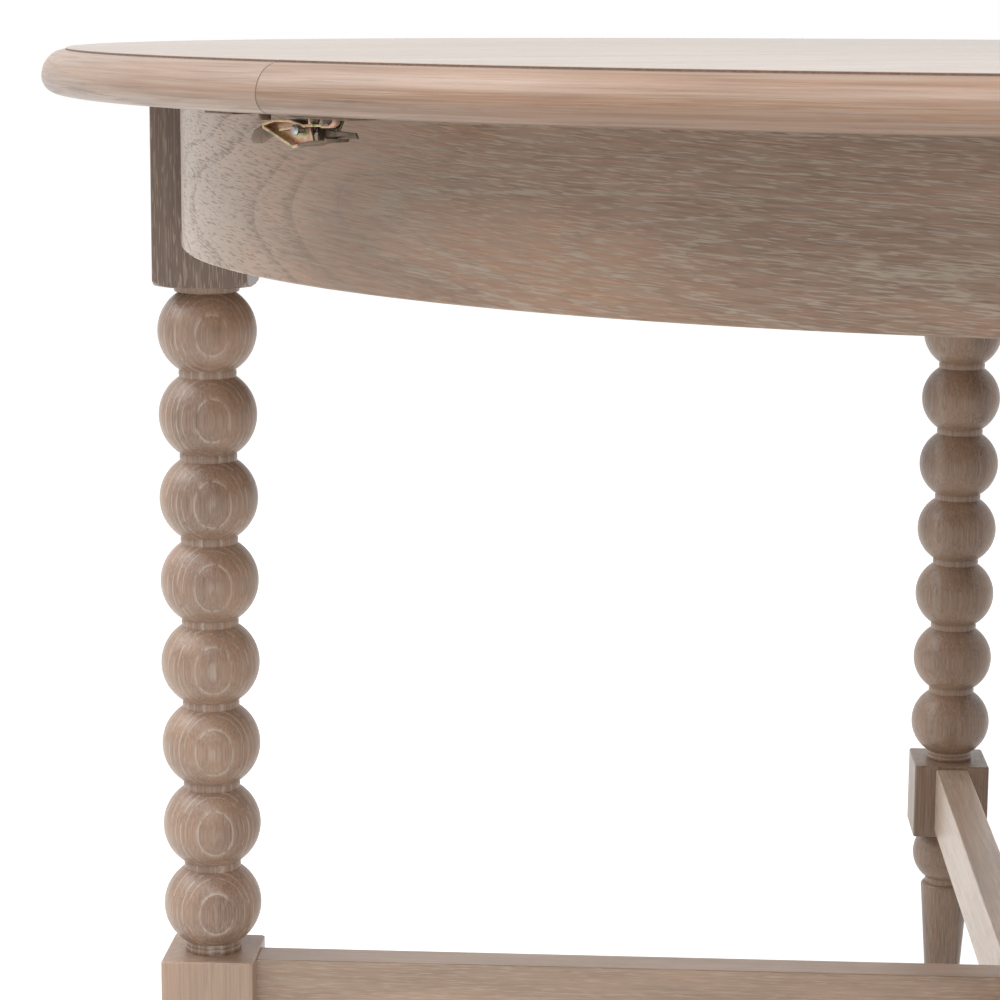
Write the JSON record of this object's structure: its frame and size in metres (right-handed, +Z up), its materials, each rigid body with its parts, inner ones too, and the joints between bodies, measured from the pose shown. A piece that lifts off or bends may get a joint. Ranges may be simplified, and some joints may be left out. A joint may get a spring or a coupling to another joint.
{
  "type": "extending dining table",
  "caption": "Round dining table on bobbin-turned legs with crossed stretchers; the top parts in the middle and its halves slide apart over a fixed ring apron.",
  "frame": {"origin": "on the floor, under the middle of the round top", "axes": "+Z up; X is the way the halves slide, with the parting line along Y; -Y is the front, where the pictured latch is"},
  "size_m": [1.2004, 1.2, 0.76],
  "materials": {
    "limed_oak_top": "limed oak, pale satin lacquer",
    "limed_oak": "limed oak, satin lacquer",
    "beech": "plain planed beech",
    "steel": "bright zinc-plated steel",
    "yellow_zinc": "yellow passivated zinc on folded steel",
    "brass": "plain brass",
    "nylon": "dark nylon"
  },
  "bodies": {
    "base": {"leaf_panel_lower": "limed_oak_top", "leaf_panel_upper": "limed_oak_top", "leg_front_left": "limed_oak", "leg_front_right": "limed_oak", "leg_back_left": "limed_oak", "leg_back_right": "limed_oak", "stretcher_over": "limed_oak", "stretcher_under": "limed_oak", "apron_front": "limed_oak", "apron_back": "limed_oak", "apron_left": "limed_oak", "apron_right": "limed_oak", "corner_brace_front_left": "beech", "corner_brace_front_right": "beech", "corner_brace_back_left": "beech", "corner_brace_back_right": "beech", "cross_rail_left": "beech", "cross_rail_right": "beech", "guide_rail_front": "beech", "guide_rail_back": "beech", "leaf_cleats": "beech", "hanger_bolts": "steel", "bolt_washers": "steel", "bolt_nuts": "steel", "pinion_axles": "steel", "rail_screws": "steel", "leaf_hinges": "brass", "floor_glides": "nylon"},
    "left_half": {"top_half_left": "limed_oak_top", "runner_left_front": "beech", "runner_left_back": "beech", "rack_left_front": "steel", "rack_left_back": "steel", "alignment_pins": "steel", "latch_catch_front": "yellow_zinc", "latch_catch_back": "yellow_zinc", "latch_catch_screws": "yellow_zinc", "runner_screws_left": "steel", "stop_pegs_left": "steel"},
    "right_half": {"top_half_right": "limed_oak_top", "runner_right_front": "beech", "runner_right_back": "beech", "rack_right_front": "steel", "rack_right_back": "steel", "pin_bushes": "brass", "latch_base_front": "yellow_zinc", "latch_base_back": "yellow_zinc", "latch_pivots": "steel", "latch_base_screws": "yellow_zinc", "runner_screws_right": "steel", "stop_pegs_right": "steel"},
    "latch_lever_front": {"latch_lever_front": "yellow_zinc", "latch_tongue_front": "yellow_zinc", "latch_rivet_front": "steel"},
    "latch_lever_back": {"latch_lever_back": "yellow_zinc", "latch_tongue_back": "yellow_zinc", "latch_rivet_back": "steel"},
    "pinion_front": {"pinion_front": "steel"},
    "pinion_back": {"pinion_back": "steel"}
  },
  "joints": [
    {"name": "left_slide", "type": "slide", "parent": "base", "child": "left_half", "axis": [-1, 0, 0], "range_m": [0, 0.2]},
    {"name": "right_slide", "type": "slide", "parent": "base", "child": "right_half", "axis": [1, 0, 0], "range_m": [0, 0.2]},
    {"name": "pinion_front_spin", "type": "hinge", "parent": "base", "child": "pinion_front", "pos_m": [0, -0.34, 0.705], "axis": [0, 0, 1], "range_deg": [-960, 5]},
    {"name": "pinion_back_spin", "type": "hinge", "parent": "base", "child": "pinion_back", "pos_m": [0, 0.34, 0.705], "axis": [0, 0, 1], "range_deg": [-960, 5]},
    {"name": "latch_front_rock", "type": "hinge", "parent": "right_half", "child": "latch_lever_front", "pos_m": [0.008, -0.572, 0.728], "axis": [0, 1, 0], "range_deg": [-8, 5]},
    {"name": "latch_back_rock", "type": "hinge", "parent": "right_half", "child": "latch_lever_back", "pos_m": [0.008, 0.572, 0.728], "axis": [0, 1, 0], "range_deg": [-8, 5]}
  ],
  "couplings": [
    {"joint": "right_slide", "follows": "left_slide", "ratio": 1},
    {"joint": "pinion_front_spin", "follows": "left_slide", "rad_per_m": -83.333},
    {"joint": "pinion_back_spin", "follows": "left_slide", "rad_per_m": -83.333}
  ]
}
